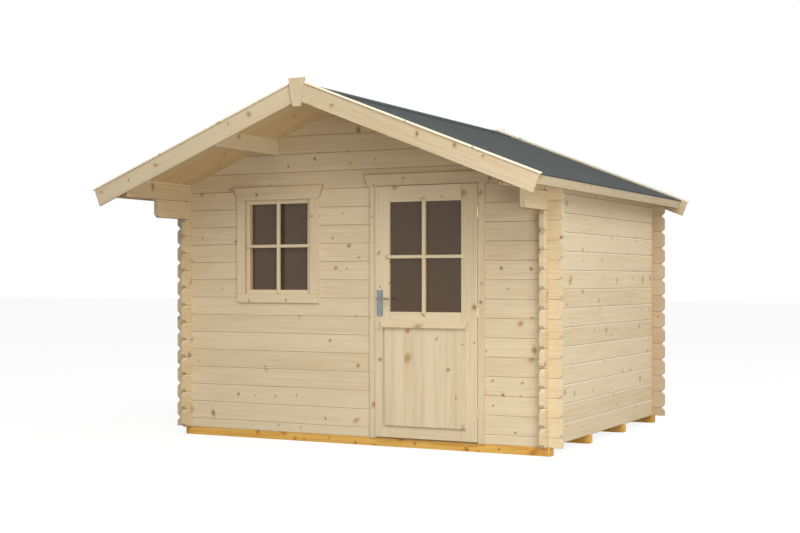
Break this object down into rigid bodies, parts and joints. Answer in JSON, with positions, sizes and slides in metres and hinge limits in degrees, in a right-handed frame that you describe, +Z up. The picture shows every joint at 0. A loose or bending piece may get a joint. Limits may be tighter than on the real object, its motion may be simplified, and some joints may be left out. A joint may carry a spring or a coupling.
{
  "type": "log garden house",
  "caption": "Small garden house of interlocking logs with a felted gable roof over a front porch, a half-glazed boarded door that opens outward and a cross-barred window.",
  "frame": {"origin": "on the ground under the middle of the whole house, roof included", "axes": "+Z up, the front with the door and window faces -Y, +X to the right seen from the front"},
  "size_m": [3.5356, 3.5206, 2.5822],
  "materials": {
    "treated_timber": "rough sawn, amber impregnated",
    "floor_timber": "planed, untreated",
    "log_timber": "planed, untreated, knotty",
    "roof_timber": "planed, untreated",
    "trim_timber": "planed, untreated, knotty",
    "door_timber": "planed, untreated, knotty",
    "roofing_felt": "mineral surfaced, matt",
    "zinc_steel": "zinc plated",
    "handle_steel": "satin",
    "pane_glass": "clear"
  },
  "bodies": {
    "house": {"floor_joists": "treated_timber", "floor_boards": "floor_timber", "front_wall_left": "log_timber", "front_wall_right": "log_timber", "front_gable": "log_timber", "left_wall": "log_timber", "right_wall": "log_timber", "back_wall": "log_timber", "back_gable": "log_timber", "left_purlin": "roof_timber", "right_purlin": "roof_timber", "left_roof_deck": "roof_timber", "right_roof_deck": "roof_timber", "left_roof_felt": "roofing_felt", "right_roof_felt": "roofing_felt", "ridge_felt": "roofing_felt", "left_eaves_board": "trim_timber", "right_eaves_board": "trim_timber", "front_left_bargeboard": "trim_timber", "front_right_bargeboard": "trim_timber", "back_left_bargeboard": "trim_timber", "back_right_bargeboard": "trim_timber", "front_cover_strips": "trim_timber", "back_cover_strips": "trim_timber", "front_keystone": "trim_timber", "back_keystone": "trim_timber", "door_frame": "trim_timber", "door_threshold": "trim_timber", "door_outer_trim": "trim_timber", "door_inner_trim": "trim_timber", "door_frame_hinges": "zinc_steel", "window_frame": "trim_timber", "window_outer_trim": "trim_timber", "window_inner_trim": "trim_timber", "window_sash": "door_timber", "window_glass": "pane_glass"},
    "door": {"door_leaf_frame": "door_timber", "door_panel": "door_timber", "door_glass": "pane_glass", "door_drip_board": "door_timber", "door_leaf_hinges": "zinc_steel", "door_handle_plates": "handle_steel"},
    "lever": {"door_lever": "handle_steel"}
  },
  "joints": [
    {"name": "door_hinge", "type": "hinge", "parent": "house", "child": "door", "pos_m": [0.989, -0.9505, 0.9788], "axis": [0, 0, 1], "range_deg": [0, 110]},
    {"name": "lever_turn", "type": "hinge", "parent": "door", "child": "lever", "pos_m": [0.219, -0.937, 1.0713], "axis": [0, 1, 0], "range_deg": [0, 40], "stiffness_Nm_per_rad": 0.8, "springref_deg": -20.05}
  ]
}
